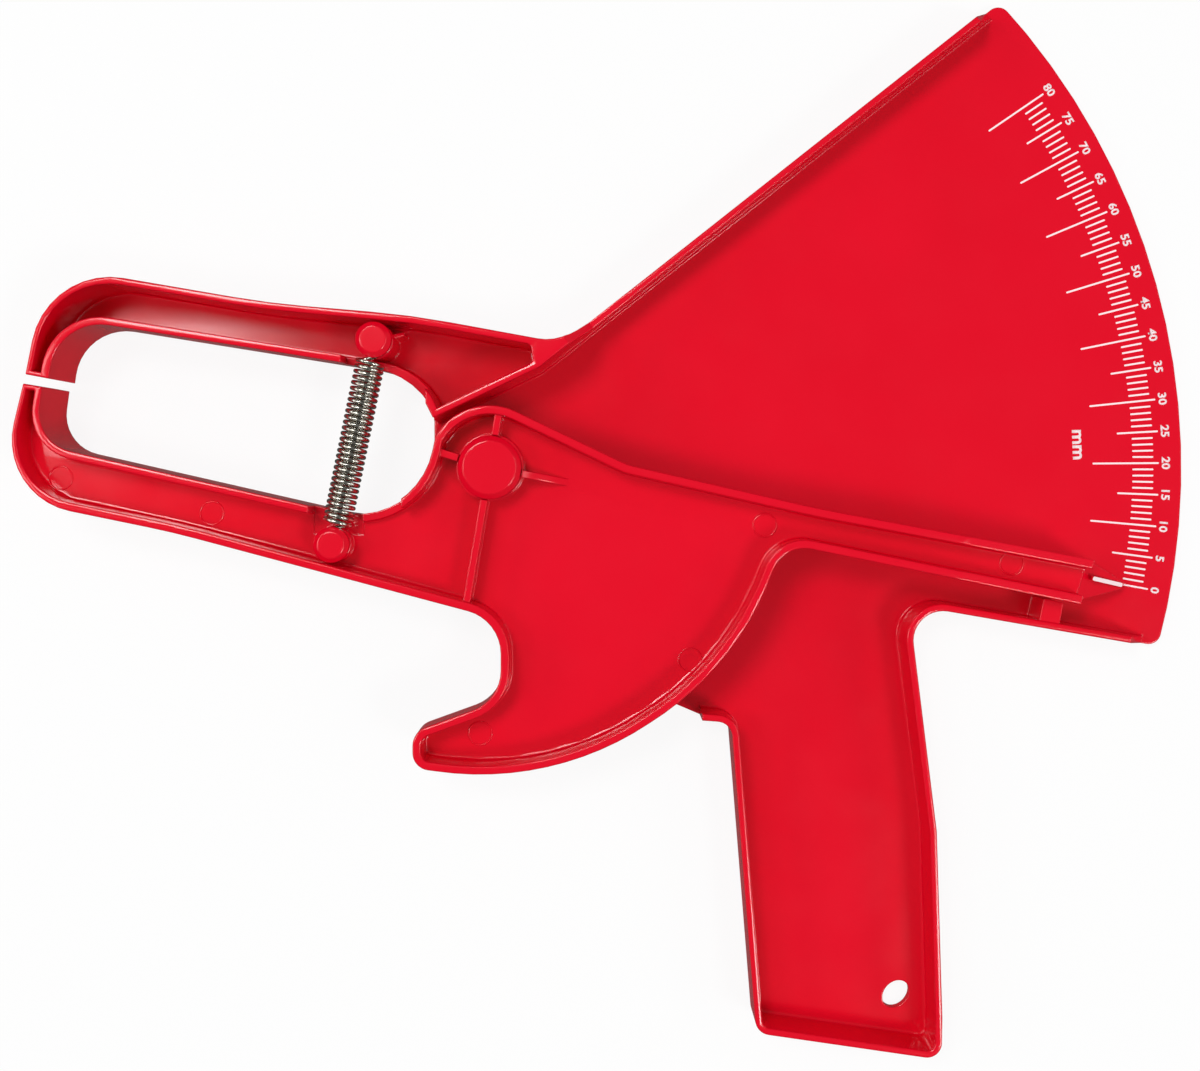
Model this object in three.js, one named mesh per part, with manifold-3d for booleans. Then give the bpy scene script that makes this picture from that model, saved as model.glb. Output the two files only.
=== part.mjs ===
// Skinfold caliper, lying on its back: x and y as the open side is seen, +z towards that side.
// The pivot axis stands at x = y = 0 and the flat back lies at z = 0. All lengths are millimetres.
import * as THREE from "three";
import { mergeVertices } from "three/addons/utils/BufferGeometryUtils.js";
import Module from "manifold-3d";

const wasm = await Module();
wasm.setup();

// Overall sizes
const JAW_REACH = 105; // pivot to the faces that pinch the fold
const JAW_DEPTH = 20; // front to back of the jaws
const SCALE_RADIUS = 163.8; // pivot to the curved edge of the scale plate
const POINTER_REACH = 151.5; // pivot to the tip of the pointer
const TRIGGER_RADIUS = 69.4; // pivot to the curved edge of the trigger
const GRIP_LENGTH = 72.3; // grip, from its shoulder to its end
const GRIP_WIDTH = 43.5; // grip, across its end

// Moulding
const PLATE = 2; // floors of all trays
const RIM_HEIGHT = 12; // walls round the scale plate and the grip
const FRAME_WALL = 1.6; // walls of the frame's trays
const LEVER_WALL = 1.9; // walls of the lever's trays
const WINDOW_WALL = 1.75; // walls round the window between the jaws
const WINDOW_LEAN = 0.35; // how much wider the window is at the back, each side
const DRAFT = 0.15; // how much thicker a wall is at its foot
const FOOT_ROUND = 0.6; // fillet between a floor and its walls
const EDGE_ROUND = 0.4; // rounding of the walls' tops
const BACK_ROUND = 0.25; // bevel of the edges on the back
const LEAST_ROUND = 0.15; // what stays of a fillet that a wall uses up
const JAW_FLOOR = 2.2; // underside of the frame jaw's floor

// Clearances
const SEAT_GAP = 0.3; // between pieces that touch
const POCKET_GAP = 1.55; // between the lever's hub and the wall that curves past it
const HEAD_GAP = 0.5; // between a spring pin's head and the wall beside it
const STOP_GAP = 0.6; // between the stop and the lever's arm at rest
const OVERRUN = 3; // how far a cut runs past the face that it opens

// Pivot
const HUB_RADIUS = 14.1; // outside of the lever round the pivot
const HUB_PLATE_RADIUS = 15.5; // rounded end of the frame's plate under the hub
const PLATE_HORN = 18.4; // pivot to the small corner of that end, beside the pocket
const PLATE_HORN_ANGLE = 141.5; // degrees
const PLATE_HORN_END = 158; // degrees, where the round end begins
const HUB_RING_RADIUS = 7.7; // collar under the pin's head
const HUB_RIB = 1.6; // ribs between the collar and the walls
const HUB_RIB_HEIGHT = 6.4; // ribs, above the lever's floor
const HUB_RIB_RUN = 10.4; // long rib, from the collar to its low end
const PIN_HEAD_RADIUS = 7.2;
const PIN_HEAD_BEVEL = 1.2;
const PIN_HEAD = 2.6; // thickness of the pin's head
const PIN_SHANK_RADIUS = 3.4;
const PIN_END_BEVEL = 0.6;
const BOSS_WALL = 2.2; // wall of the frame's boss round the pin
const BOSS_HEIGHT = 10.1; // its top, which carries the lever

// Spring and its pins
const POST_RADIUS = 4.1; // bosses and pin heads
const POST_HEIGHT = 14.5; // top of the bosses
const POST_HEAD = 2.2; // thickness of the heads
const POST_HEAD_BEVEL = 1.1;
const POST_NECK_RADIUS = 2;
const POST_SHANK_RADIUS = 1.6;
const POST_SHANK_LENGTH = 4.5;
const WIRE = 0.65;
const COIL_RADIUS = 3.18; // to the middle of the wire
const COIL_PITCH = 1.28;
const COIL_START = 4.6; // post axis to the first curl
const LAST_CURL_SHARE = 0.5; // of a curl, at the coil's ends
const COIL_END_ANGLE = -60; // degrees, where the wire leaves the coil for its hook
const COIL_LEAD_SHARE = 0.3; // of the way from the pin to the first curl, straight
const BEND_SHARE = 0.45; // how softly the wire bends into its hook
const HOOK_TURN = 235; // degrees, round the neck
const NOTCH_FLOOR = 12.3; // window walls where the spring crosses them

// Small features
const PAD_WALL = 1.1; // jaw faces
// Walls beside the jaw faces and their lean, shares of the jaw's width there
const outer_tip_shares = { wall: 0.23, lean: 0 };
const window_tip_shares = { wall: 0.37, lean: 0.16 };
const tip_foot_share = 0.12; // most that such a wall gains at its foot
const WEB_RUN = 10.4; // solid corner between the jaw's tray and the scale plate
const WEB_ROUND = 2.9;
const RAMP_START = 1.5; // ramp, past the corner where the rim begins
const RAMP_RUN = 7; // ramp from the jaw's height down to the rim's
const RIM_END = 4.2; // rims stop this far inside the curved edge
const RIM_END_RUN = 6; // length of the slope at their ends
const STOP_WIDTH = 4.7;
const STOP_SHARE = 0.862; // of the pointer's reach
const HANG_LONG = 7.2;
const HANG_SHORT = 5.6;
const HANG_TURN = 47; // degrees
const HANG_IN = 10.43; // hole, from the grip's right-hand side
const HANG_UP = 10.7; // hole, from the grip's end
const ARM_TAPER = 3; // how much lower the arm's walls are at their ends
const ARM_TAPER_SHARE = 0.69; // where that starts, share of the pointer's reach
const TIP_RISE = 3.6; // underside of the pointer's tip above the back
const TIP_THICK = 1;
const TIP_WIDTH = 1.6;
const INDEX_WIDTH = 1.2; // raised line on the pointer
const INDEX_HEIGHT = 0.35;
const STEP_WALL = 1.6; // wall that ends the deep part of the lever's jaw
const GUSSET = 0.9; // small rib beside the upper spring post
const GUSSET_RUN = 2.3;
const GUSSET_ANGLE = 17; // degrees
const UP_RIB_ANGLE = 80.5; // degrees
const LEFT_RIB_ANGLE = 163; // degrees
const RIGHT_RIB_ANGLE = -11; // degrees
const DOWN_RIB_ANGLE = -99.7; // degrees
const UPPER_NOTCH_BEFORE = 7.2; // low stretches of the window walls, from each post
const UPPER_NOTCH_AFTER = 12;
const LOWER_NOTCH_BEFORE = 5.05;
const LOWER_NOTCH_AFTER = 16.05;
const LOWER_NOTCH_STEP = 6.5; // where the lower one's floor rises, from its post
const STEP_FLOOR = 14.6; // that floor
const POST_BOSS_LOW = 8.5; // foot of the lower boss, behind the lever's floor

// Heights that follow from those above
const LEVER_BACK = BOSS_HEIGHT + SEAT_GAP;
const LEVER_FLOOR = LEVER_BACK + PLATE;
const JAW_TRAY = JAW_FLOOR + PLATE;

// Facets
const ARC_STEP = 10; // degrees
const WIDE_ARC_STEP = 3.5; // degrees, on the large arcs
const ROUND_SIDES = 36;
const WIDE_SIDES = 120;
const CURL_STEPS = 8;
const WIRE_SIDES = 5;

// Plane geometry
const rad = THREE.MathUtils.degToRad;
const point = (x, y) => ({ x, y });
const polar = (radius, angle) => point(radius * Math.cos(rad(angle)), radius * Math.sin(rad(angle)));
const onShares = (size, [x, y]) => point(size * x, size * y);
const towards = (angle) => polar(1, angle);
const along = (p, direction, run) => point(p.x + direction.x * run, p.y + direction.y * run);
const direction = (a, b) => {
  const length = Math.hypot(b.x - a.x, b.y - a.y);
  return point((b.x - a.x) / length, (b.y - a.y) / length);
};
const leftOf = (d) => point(-d.y, d.x);

// Where the line through a along u meets the line through b along v.
function meet(a, u, b, v) {
  const cross = u.x * v.y - u.y * v.x;
  if (Math.abs(cross) < 1e-9) return b;
  return along(a, u, ((b.x - a.x) * v.y - (b.y - a.y) * v.x) / cross);
}

// A corner of an outline. Its wall and lean belong to the edge that leaves it.
const corner = (p, radius, wall, lean = 0, room = Infinity) => ({ ...p, radius, wall, lean, room });

// Corners along an arc round the pivot, whose radius may change evenly from its start to its end.
function arcCorners(radius, from, to, wall, endRadius = radius) {
  const step = radius > HUB_PLATE_RADIUS + HUB_RADIUS ? WIDE_ARC_STEP : ARC_STEP;
  const count = Math.ceil(Math.abs(to - from) / step);
  return Array.from({ length: count + 1 }, (_, i) =>
    corner(polar(radius + ((endRadius - radius) * i) / count, from + ((to - from) * i) / count), 0, wall),
  );
}

// Moves every edge of a counter-clockwise outline inwards by its own distance.
function insetCorners(corners, distanceOf) {
  const n = corners.length;
  const edges = corners.map((c, i) => {
    const d = direction(c, corners[(i + 1) % n]);
    const distance = distanceOf(c);
    return { start: along(c, leftOf(d), distance), d, distance };
  });
  return corners.map((c, i) => {
    const before = edges[(i + n - 1) % n];
    const after = edges[i];
    const p = meet(before.start, before.d, after.start, after.d);
    const turn = Math.sign(before.d.x * after.d.y - before.d.y * after.d.x);
    const change = (before.distance + after.distance) / 2;
    const radius = c.radius ? Math.max(c.radius - turn * change, LEAST_ROUND) : 0;
    return { ...c, ...p, radius };
  });
}

function edgesOf(corners) {
  return corners.map((c, i) => {
    const next = corners[(i + 1) % corners.length];
    return { d: direction(c, next), length: Math.hypot(next.x - c.x, next.y - c.y) };
  });
}

function turnsOf(edges) {
  return edges.map(({ d: b }, i) => {
    const a = edges.at(i - 1).d;
    return Math.atan2(a.x * b.y - a.y * b.x, a.x * b.x + a.y * b.y);
  });
}

// Gives each fillet its number of facets, the same in every inset of the outline.
function stepped(corners) {
  const turns = turnsOf(edgesOf(corners));
  return corners.map((c, i) => ({ ...c, steps: Math.max(2, Math.ceil(Math.abs(turns[i]) / rad(ARC_STEP))) }));
}

// Turns corners into points, with an arc at each filleted corner.
function roundCorners(corners) {
  const n = corners.length;
  const edges = edgesOf(corners);
  const turns = turnsOf(edges);
  const wanted = corners.map((c, i) => c.radius * Math.tan(Math.abs(turns[i]) / 2));
  const points = [];
  corners.forEach((c, i) => {
    if (!c.radius) {
      points.push(new THREE.Vector2(c.x, c.y));
      return;
    }
    const before = edges[(i + n - 1) % n];
    const after = edges[i];
    const shareBefore = before.length / (wanted[i] + wanted[(i + n - 1) % n]);
    const shareAfter = after.length / (wanted[i] + wanted[(i + 1) % n]);
    const tangent = wanted[i] * Math.min(1, 0.999 * shareBefore, 0.999 * shareAfter);
    const radius = tangent / Math.tan(Math.abs(turns[i]) / 2);
    const side = Math.sign(turns[i]);
    const start = along(c, before.d, -tangent);
    const centre = along(start, leftOf(before.d), side * radius);
    const first = Math.atan2(start.y - centre.y, start.x - centre.x);
    for (let k = 0; k <= c.steps; k++) {
      const angle = first + (turns[i] * k) / c.steps;
      const p = along(centre, point(Math.cos(angle), Math.sin(angle)), radius);
      points.push(new THREE.Vector2(p.x, p.y));
    }
  });
  return points;
}

// Solids
function solid(geometry) {
  const bare = geometry.clone();
  bare.deleteAttribute("normal");
  bare.deleteAttribute("uv");
  const merged = mergeVertices(bare, 1e-4);
  return new wasm.Manifold(
    new wasm.Mesh({
      numProp: 3,
      vertProperties: new Float32Array(merged.attributes.position.array),
      triVerts: new Uint32Array(merged.index.array),
    }),
  );
}

const union = (solids) => solids.reduce((sum, next) => sum.add(next));

// Joins rings of equal count, lowest first, into one closed solid.
function loft(levels) {
  const n = levels[0].ring.length;
  const positions = levels.flatMap(({ z, ring }) => ring.flatMap((p) => [p.x, p.y, z]));
  const index = [];
  for (let k = 0; k + 1 < levels.length; k++)
    for (let i = 0; i < n; i++) {
      const a = k * n + i;
      const b = k * n + ((i + 1) % n);
      index.push(a, b, b + n, a, b + n, a + n);
    }
  const last = (levels.length - 1) * n;
  for (const [a, b, c] of THREE.ShapeUtils.triangulateShape(levels[0].ring, [])) index.push(a, c, b);
  for (const [a, b, c] of THREE.ShapeUtils.triangulateShape(levels.at(-1).ring, []))
    index.push(last + a, last + b, last + c);
  const geometry = new THREE.BufferGeometry();
  geometry.setAttribute("position", new THREE.Float32BufferAttribute(positions, 3));
  geometry.setIndex(index);
  return solid(geometry);
}

// The block inside an outline, bevelled at the back and rounded at the front.
function block(corners, low, high) {
  const bend = Math.SQRT1_2;
  const ring = (z, extra) =>
    roundCorners(insetCorners(stepped(corners), (c) => extra + c.lean * (1 - z / JAW_DEPTH)));
  const level = (z, extra) => ({ z, ring: ring(z, extra) });
  return loft([
    level(low, BACK_ROUND),
    level(low + BACK_ROUND, 0),
    level(high - EDGE_ROUND, 0),
    level(high - EDGE_ROUND * (1 - bend), EDGE_ROUND * (1 - bend)),
    level(high, EDGE_ROUND),
  ]);
}

// A hollow's ring inside the walls. An edge without a wall is left open.
const insideWalls = (corners, extra) =>
  roundCorners(insetCorners(stepped(corners), (c) => (c.wall ? c.wall + Math.min(extra, c.room) : -OVERRUN)));

// The hollow inside an outline's walls: filleted at the floor, flared at the rounded tops.
function hollow(corners, floor, high) {
  const bend = Math.SQRT1_2;
  const level = (z, extra) => ({ z, ring: insideWalls(corners, extra) });
  return loft([
    level(floor, DRAFT + FOOT_ROUND),
    level(floor + FOOT_ROUND * (1 - bend), DRAFT + FOOT_ROUND * (1 - bend)),
    level(floor + FOOT_ROUND, DRAFT),
    level(high - EDGE_ROUND, 0),
    level(high - EDGE_ROUND * (1 - bend), -EDGE_ROUND * (1 - bend)),
    level(high, -EDGE_ROUND),
    level(high + OVERRUN, -EDGE_ROUND),
  ]);
}

// The hollow behind a floor, open to the back.
function backHollow(corners, low, ceiling) {
  const level = (z, extra) => ({ z, ring: insideWalls(corners, extra) });
  return loft([level(low - OVERRUN, 0), level(low, 0), level(ceiling, DRAFT)]);
}

// A box between two corners of space.
function box(x0, x1, y0, y1, z0, z1) {
  const geometry = new THREE.BoxGeometry(x1 - x0, y1 - y0, z1 - z0);
  geometry.translate((x0 + x1) / 2, (y0 + y1) / 2, (z0 + z1) / 2);
  return solid(geometry);
}

// A bar of a given width between two points, whose top and underside may slope.
function bar(a, b, width, lowA, highA, lowB = lowA, highB = highA) {
  const length = Math.hypot(b.x - a.x, b.y - a.y);
  const side = new THREE.Shape();
  side.moveTo(0, lowA);
  side.lineTo(length, lowB);
  side.lineTo(length, highB);
  side.lineTo(0, highA);
  side.closePath();
  const geometry = new THREE.ExtrudeGeometry(side, { depth: width, bevelEnabled: false, steps: 1 });
  geometry.translate(0, 0, -width / 2);
  geometry.rotateX(Math.PI / 2);
  geometry.rotateZ(Math.atan2(b.y - a.y, b.x - a.x));
  geometry.translate(a.x, a.y, 0);
  return solid(geometry);
}

// A turned piece about an upright axis, from half its section: [radius, height] from the bottom up.
function turned(centre, section, sides = ROUND_SIDES) {
  const geometry = new THREE.LatheGeometry(
    section.map(([radius, z]) => new THREE.Vector2(radius, z)),
    sides,
  );
  geometry.rotateX(Math.PI / 2);
  geometry.translate(centre.x, centre.y, 0);
  return solid(geometry);
}

const disc = (centre, radius, low, high) =>
  turned(centre, [[0, low], [radius, low], [radius, high], [0, high]]);

const PIVOT = point(0, 0);

// Lines that both mouldings follow
const POCKET_ANGLE = 25.6; // degrees, wall that passes the hub
const POCKET_BACK = 6.7; // its left end, behind the nearest point to the pivot
const WINDOW_END_ANGLE = 112; // degrees, window's right-hand side above the pocket
const RIM_ANGLE = 38.3; // degrees, upper rim of the scale plate
const LOWER_RIM_ANGLE = -9.8; // degrees

// Frame: jaw, scale plate and pistol grip
const frame_jaw_shares = {
  padOuter: [-1.0016, 0.2012],
  padInner: [-0.9505, 0.1915],
  windowCorner: [-0.9314, 0.3248],
  windowTop: [-0.321, 0.227],
  bend: [-0.1714, 0.3295],
  upperBend: [-0.4762, 0.3552],
  shoulder: [-0.9546, 0.4376],
};
const valley_shares = [1.1287, 2.0137]; // of the hub's radius
const grip_top_shares = {
  heel: [0.2594, -0.6556],
  wallEnd: [0.7046, -0.8458],
  front: [0.8012, -0.853],
};
const grip_back_shares = [0.5885, -0.1938]; // of the scale's radius
const PAD_ROUND = 0.3;
const WINDOW_CORNER_ROUND = 11.5;
const WINDOW_END_ROUND = 18;
const SHOULDER_ROUND = 18;
const TOP_BEND_ROUND = 190;
const VALLEY_ROUND = 11;
const PLATE_CORNER_ROUND = 3;
const HEEL_ROUND = 18;
const GRIP_CORNER_ROUND = 3.6;
const GRIP_BACK_ROUND = 8;
const GRIP_BULGE = 4.9; // how far the grip's back swells
const GRIP_SWELL_ROUND = 550;
const GRIP_FRONT_ANGLE = -85.4; // degrees
const GRIP_END_ANGLE = -8.2; // degrees

const framePoint = (name) => onShares(JAW_REACH, frame_jaw_shares[name]);
const pocketDirection = towards(POCKET_ANGLE);
const pocketFoot = along(PIVOT, leftOf(pocketDirection), HUB_RADIUS + POCKET_GAP);
const pocketStart = along(pocketFoot, pocketDirection, -POCKET_BACK);
const valley = onShares(HUB_RADIUS, valley_shares);
const rimDirection = towards(RIM_ANGLE);
const rimInside = along(valley, leftOf(rimDirection), -FRAME_WALL);
const pocketEnd = meet(pocketFoot, pocketDirection, rimInside, rimDirection);
const topDirection = direction(valley, framePoint("bend"));
const windowEnd = meet(
  framePoint("windowCorner"),
  direction(framePoint("windowCorner"), framePoint("windowTop")),
  pocketStart,
  towards(WINDOW_END_ANGLE),
);

// Where a line meets the circle round the pivot, on the side it points to.
function meetCircle(start, d, radius) {
  const back = start.x * d.x + start.y * d.y;
  const foot = along(start, d, -back);
  return along(foot, d, Math.sqrt(radius * radius - foot.x * foot.x - foot.y * foot.y));
}

// The walls beside the jaw faces, which follow the jaw's width there.
function tipCorner(p, radius, shares, a, b) {
  const width = Math.hypot(b.x - a.x, b.y - a.y);
  return corner(p, radius, shares.wall * width, shares.lean * width, tip_foot_share * width);
}

function frameJawSide() {
  const outer = framePoint("padOuter");
  const inner = framePoint("padInner");
  return [
    tipCorner(framePoint("shoulder"), SHOULDER_ROUND, outer_tip_shares, outer, inner),
    corner(outer, PAD_ROUND, PAD_WALL),
    tipCorner(inner, PAD_ROUND, window_tip_shares, outer, inner),
    corner(framePoint("windowCorner"), WINDOW_CORNER_ROUND, WINDOW_WALL, WINDOW_LEAN),
    corner(windowEnd, WINDOW_END_ROUND, WINDOW_WALL, WINDOW_LEAN),
    corner(pocketStart, PAD_ROUND, FRAME_WALL),
  ];
}

const frameJawTop = () => [
  corner(framePoint("bend"), TOP_BEND_ROUND, FRAME_WALL),
  corner(framePoint("upperBend"), TOP_BEND_ROUND, FRAME_WALL),
];

// The jaw with the solid corner and the first stretch of the rim.
function frameJawOutline() {
  const run = RAMP_START + RAMP_RUN + VALLEY_ROUND;
  return [
    ...frameJawSide(),
    corner(pocketEnd, 0, FRAME_WALL),
    corner(along(rimInside, rimDirection, run), 0, FRAME_WALL),
    corner(along(valley, rimDirection, run), 0, FRAME_WALL),
    corner(valley, VALLEY_ROUND, FRAME_WALL),
    ...frameJawTop(),
  ];
}

// The same jaw up to where its tray ends.
function frameTrayOutline() {
  const tip = meet(pocketFoot, pocketDirection, valley, topDirection);
  return [
    ...frameJawSide(),
    corner(along(tip, pocketDirection, -WEB_RUN), WEB_ROUND, FRAME_WALL),
    corner(along(tip, topDirection, WEB_RUN), WEB_ROUND, FRAME_WALL),
    ...frameJawTop(),
  ];
}

const gripFront = onShares(TRIGGER_RADIUS, grip_top_shares.front);
const gripEndFront = along(gripFront, towards(GRIP_FRONT_ANGLE), GRIP_LENGTH);
const gripEndBack = along(gripEndFront, towards(GRIP_END_ANGLE), GRIP_WIDTH);
const gripBack = onShares(SCALE_RADIUS, grip_back_shares);

// Scale plate and grip. Only edges with a wall carry a rim.
function frameTrayCorners() {
  const heel = onShares(TRIGGER_RADIUS, grip_top_shares.heel);
  const heelAngle = THREE.MathUtils.radToDeg(Math.atan2(heel.y, heel.x));
  const reach = Math.hypot(heel.x, heel.y);
  const tangentAngle = heelAngle - THREE.MathUtils.radToDeg(Math.acos(HUB_PLATE_RADIUS / reach));
  const middle = along(point((gripBack.x + gripEndBack.x) / 2, (gripBack.y + gripEndBack.y) / 2),
    leftOf(direction(gripBack, gripEndBack)), GRIP_BULGE);
  const low = meetCircle(gripBack, towards(LOWER_RIM_ANGLE), SCALE_RADIUS);
  const high = meetCircle(valley, rimDirection, SCALE_RADIUS);
  const angleOf = (p) => THREE.MathUtils.radToDeg(Math.atan2(p.y, p.x));
  const edge = arcCorners(SCALE_RADIUS, angleOf(low), angleOf(high), 0);
  edge[0].radius = PLATE_CORNER_ROUND;
  edge.at(-1).radius = PLATE_CORNER_ROUND;
  edge.at(-1).wall = FRAME_WALL;
  const pocketBehind = along(pocketStart, leftOf(pocketDirection), FRAME_WALL);
  return [
    corner(pocketBehind, 0, 0),
    corner(polar(HUB_PLATE_RADIUS, tangentAngle), 0, 0),
    corner(heel, HEEL_ROUND, 0),
    corner(onShares(TRIGGER_RADIUS, grip_top_shares.wallEnd), 0, FRAME_WALL),
    corner(gripFront, GRIP_CORNER_ROUND, FRAME_WALL),
    corner(gripEndFront, GRIP_CORNER_ROUND, FRAME_WALL),
    corner(gripEndBack, GRIP_CORNER_ROUND, FRAME_WALL),
    corner(middle, GRIP_SWELL_ROUND, FRAME_WALL),
    corner(gripBack, GRIP_BACK_ROUND, FRAME_WALL),
    ...edge,
    corner(meet(pocketBehind, pocketDirection, valley, rimDirection), 0, FRAME_WALL),
  ];
}

// The small corner of the plate between its round end and the pocket.
function plateHorn() {
  const behind = along(pocketStart, leftOf(pocketDirection), FRAME_WALL);
  const horn = polar(PLATE_HORN, PLATE_HORN_ANGLE);
  const corners = [PIVOT, behind, horn, polar(HUB_PLATE_RADIUS, PLATE_HORN_END)];
  return block(corners.map((p) => corner(p, 0, 0)), 0, PLATE);
}

// Where the spring's pins stand: beside the outer wall of each jaw.
const POST_INSET = FRAME_WALL + HEAD_GAP + POST_RADIUS;
const upper_post_share = -0.2467;
const lower_post_share = -0.3586;
const onLineAt = (start, d, x) => along(start, d, (x - start.x) / d.x);
const upperTop = direction(framePoint("bend"), framePoint("upperBend"));
const upperPost = along(
  onLineAt(framePoint("bend"), upperTop, JAW_REACH * upper_post_share), leftOf(upperTop), POST_INSET,
);

// Lever: jaw, trigger and pointer
const lever_jaw_shares = {
  padInner: [-0.9647, 0.1738],
  padOuter: [-1.0063, 0.1815],
  heel: [-1.0648, -0.0619],
  bend: [-0.6857, -0.14],
  windowLow: [-0.2762, -0.1081],
  windowCorner: [-0.981, 0.0524],
};
const trigger_shares = {
  pocketTop: [0.0375, -0.4986],
  pocketLow: [0.0375, -0.7608],
  hookTop: [-0.2507, -0.8646],
  hookLow: [-0.2507, -0.983],
};
const toe_reach_share = 1.0085; // trigger's edge at the hook, then at the fork's side
const edge_reach_share = 0.987;
const arm_shares = {
  lowerStart: [0.495, -0.1248],
  lowerEnd: [0.8911, -0.2059],
  tip: [0.9835, -0.1835],
  upperEnd: [0.9122, -0.1399],
  upperBend: [0.495, -0.062],
  knee: [0.2066, 0.004],
  indexStart: [0.9188, -0.169],
};
const HEEL_END_ROUND = 16.5;
const LEVER_CORNER_ROUND = 9;
const LEVER_WINDOW_ROUND = 18;
const FINGER_TOP_ROUND = 10;
const FINGER_LOW_ROUND = 9.5;
const HOOK_TOP_ROUND = 4.5;
const HOOK_LOW_ROUND = 4;
const TRIGGER_FROM = -100; // degrees
const TRIGGER_BEND = -58; // degrees, from where its edge is round about the pivot
const TRIGGER_TO = -20; // degrees
const FORK_ROUND = 7.6;
const KNEE_ROUND = 12;
const ARM_BEND_ROUND = 200;
const HUB_TO = 150; // degrees, end of the round hub
const LEVER_WINDOW_ANGLE = 258; // degrees, from the hub into the window

const leverPoint = (name) => onShares(JAW_REACH, lever_jaw_shares[name]);
const triggerPoint = (name) => onShares(TRIGGER_RADIUS, trigger_shares[name]);
const armPoint = (name) => onShares(POINTER_REACH, arm_shares[name]);
const bottomDirection = direction(leverPoint("bend"), triggerPoint("pocketTop"));
const lowerPost = along(
  onLineAt(leverPoint("bend"), bottomDirection, JAW_REACH * lower_post_share),
  leftOf(bottomDirection),
  LEVER_WALL + HEAD_GAP + POST_RADIUS,
);
const armLower = direction(armPoint("lowerStart"), armPoint("lowerEnd"));

function leverCorners() {
  const padInner = leverPoint("padInner");
  const padOuter = leverPoint("padOuter");
  const knee = armPoint("knee");
  const kneeReach = Math.hypot(knee.x, knee.y);
  const hubFrom = THREE.MathUtils.radToDeg(
    Math.atan2(knee.y, knee.x) + Math.acos(HUB_RADIUS / kneeReach),
  );
  const hub = arcCorners(HUB_RADIUS, hubFrom, HUB_TO, LEVER_WALL);
  hub.at(-1).wall = WINDOW_WALL;
  hub.at(-1).lean = WINDOW_LEAN;
  const windowEndLow = meet(
    hub.at(-1),
    towards(LEVER_WINDOW_ANGLE),
    leverPoint("windowCorner"),
    direction(leverPoint("windowCorner"), leverPoint("windowLow")),
  );
  const edgeReach = TRIGGER_RADIUS * edge_reach_share;
  const toe = arcCorners(TRIGGER_RADIUS * toe_reach_share, TRIGGER_FROM, TRIGGER_BEND, LEVER_WALL, edgeReach);
  const trigger = [...toe, ...arcCorners(edgeReach, TRIGGER_BEND, TRIGGER_TO, LEVER_WALL).slice(1)];
  const fork = meet(trigger.at(-1), towards(TRIGGER_TO + 90), armPoint("lowerStart"), armLower);
  return [
    corner(padInner, PAD_ROUND, PAD_WALL),
    tipCorner(padOuter, PAD_ROUND, outer_tip_shares, padInner, padOuter),
    corner(leverPoint("heel"), HEEL_END_ROUND, LEVER_WALL),
    corner(leverPoint("bend"), TOP_BEND_ROUND, LEVER_WALL),
    corner(triggerPoint("pocketTop"), FINGER_TOP_ROUND, LEVER_WALL),
    corner(triggerPoint("pocketLow"), FINGER_LOW_ROUND, LEVER_WALL),
    corner(triggerPoint("hookTop"), HOOK_TOP_ROUND, LEVER_WALL),
    corner(triggerPoint("hookLow"), HOOK_LOW_ROUND, LEVER_WALL),
    ...trigger,
    corner(fork, FORK_ROUND, LEVER_WALL),
    corner(armPoint("lowerEnd"), 0, 0),
    corner(armPoint("upperEnd"), 0, LEVER_WALL),
    corner(armPoint("upperBend"), ARM_BEND_ROUND, LEVER_WALL),
    corner(knee, KNEE_ROUND, LEVER_WALL),
    ...hub,
    corner(windowEndLow, LEVER_WINDOW_ROUND, WINDOW_WALL, WINDOW_LEAN),
    tipCorner(leverPoint("windowCorner"), LEVER_CORNER_ROUND, window_tip_shares, padInner, padOuter),
  ];
}

// Rims stop short of the curved edge with a slope.
function rimEnds() {
  const outside = SCALE_RADIUS + OVERRUN;
  const end = SCALE_RADIUS - RIM_END;
  const past = RIM_HEIGHT + OVERRUN;
  const slope = RIM_END_RUN / (RIM_HEIGHT - PLATE);
  const ring = turned(PIVOT, [
    [end, PLATE],
    [outside, PLATE],
    [outside, past],
    [end - slope * (past - PLATE), past],
    [end, PLATE],
  ], WIDE_SIDES);
  return ring.intersect(box(0, outside, gripBack.y - RIM_END - GRIP_BACK_ROUND, outside, 0, past));
}

// Beside the lever the plate has no rim, up to where the grip's front begins.
function rimStart() {
  const heel = onShares(TRIGGER_RADIUS, grip_top_shares.heel);
  const end = onShares(TRIGGER_RADIUS, grip_top_shares.wallEnd);
  return box(heel.x, end.x, gripFront.y - OVERRUN, heel.y, PLATE, RIM_HEIGHT + OVERRUN);
}

// The jaw's height falls to the rim's along the rim.
function rampCut() {
  const start = along(valley, rimDirection, RAMP_START);
  const run = RAMP_RUN + VALLEY_ROUND + OVERRUN;
  const past = JAW_DEPTH + OVERRUN;
  const width = 2 * VALLEY_ROUND;
  const foot = along(start, rimDirection, RAMP_RUN);
  const slope = bar(start, foot, width, JAW_DEPTH, past, RIM_HEIGHT, past);
  const rest = bar(foot, along(start, rimDirection, run), width, RIM_HEIGHT, past);
  return slope.add(rest);
}

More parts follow.
